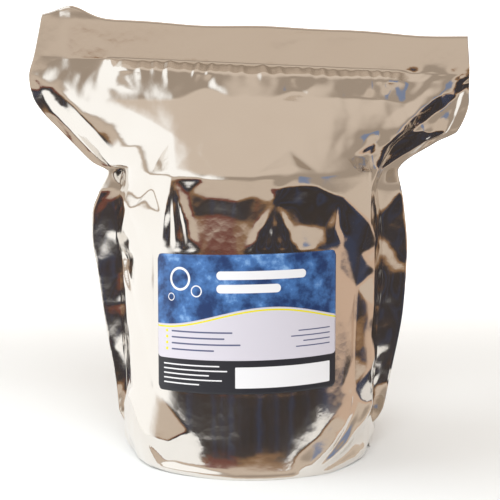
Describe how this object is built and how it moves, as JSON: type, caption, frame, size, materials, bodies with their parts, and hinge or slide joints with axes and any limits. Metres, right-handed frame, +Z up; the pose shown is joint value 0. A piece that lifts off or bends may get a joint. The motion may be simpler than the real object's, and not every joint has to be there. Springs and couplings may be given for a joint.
{
  "type": "wet wipes refill pouch",
  "caption": "Sealed stand-up pouch of metallised film around a roll of moist wipes, with a flared heat-sealed top and a printed front label.",
  "frame": {"origin": "middle of the base, on the surface that the pouch stands on", "axes": "+Z up, label and front towards -Y, the flat top seal along X"},
  "size_m": [0.36, 0.2007, 0.3539],
  "materials": {
    "metallised_film": "bright mirror-like metallised film with folds and fine crinkles",
    "label_print": "satin printed paper label, blue over white with a dark band"
  },
  "bodies": {
    "root": {"foil_pouch": "metallised_film", "label": "label_print"}
  },
  "joints": []
}
